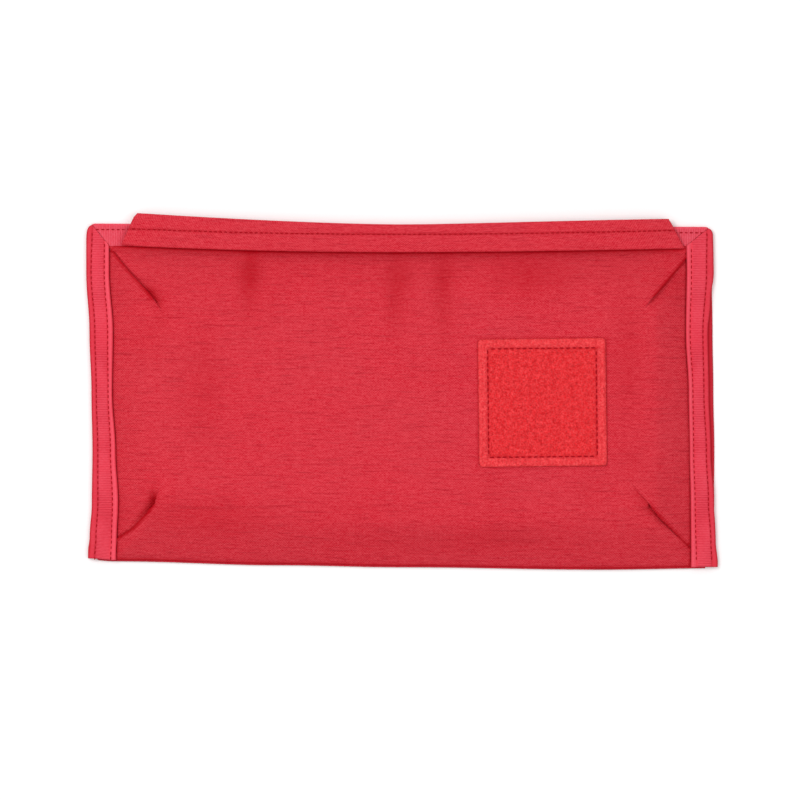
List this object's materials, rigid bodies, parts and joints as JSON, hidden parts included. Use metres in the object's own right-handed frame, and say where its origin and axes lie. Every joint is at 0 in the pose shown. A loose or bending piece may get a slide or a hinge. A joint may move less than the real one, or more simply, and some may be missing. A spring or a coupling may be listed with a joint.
{
  "type": "fire blanket in a soft pouch",
  "caption": "Flat stuffed cloth pouch with tape-bound edges, a header strip over its mouth and a square loop patch, holding a folded blanket with pull tabs.",
  "frame": {"origin": "middle of the pouch on the surface it lies on, below its back", "axes": "+X to the right seen from the front, +Y towards the mouth, +Z out of the front"},
  "size_m": [0.314, 0.174, 0.0191],
  "materials": {
    "back_cloth": "matte",
    "front_cloth": "matte",
    "binding_tape": "satin",
    "header_cloth": "matte",
    "loop_pile": "matte",
    "hook_tape": "matte",
    "glass_cloth": "satin",
    "tab_webbing": "matte"
  },
  "bodies": {
    "pouch": {"back_panel": "back_cloth", "front_panel": "front_cloth", "left_binding": "binding_tape", "right_binding": "binding_tape", "top_binding": "binding_tape", "closure_loop_strip": "loop_pile", "loop_patch": "loop_pile"},
    "lip": {"front_panel_lip": "front_cloth", "header_strip": "header_cloth", "closure_hook_strip": "hook_tape"},
    "blanket": {"blanket": "glass_cloth", "left_pull_tab": "tab_webbing", "right_pull_tab": "tab_webbing"}
  },
  "joints": [
    {"name": "blanket_slide", "type": "slide", "parent": "pouch", "child": "blanket", "axis": [0, 1, 0], "range_m": [0, 0.143]},
    {"name": "lip_hinge", "type": "hinge", "parent": "pouch", "child": "lip", "pos_m": [0, 0.046, 0.0172], "axis": [1, 0, 0], "range_deg": [0, 115]}
  ],
  "couplings": [
    {"joint": "lip_hinge", "follows": "blanket_slide", "rad_per_m": 13.963}
  ]
}
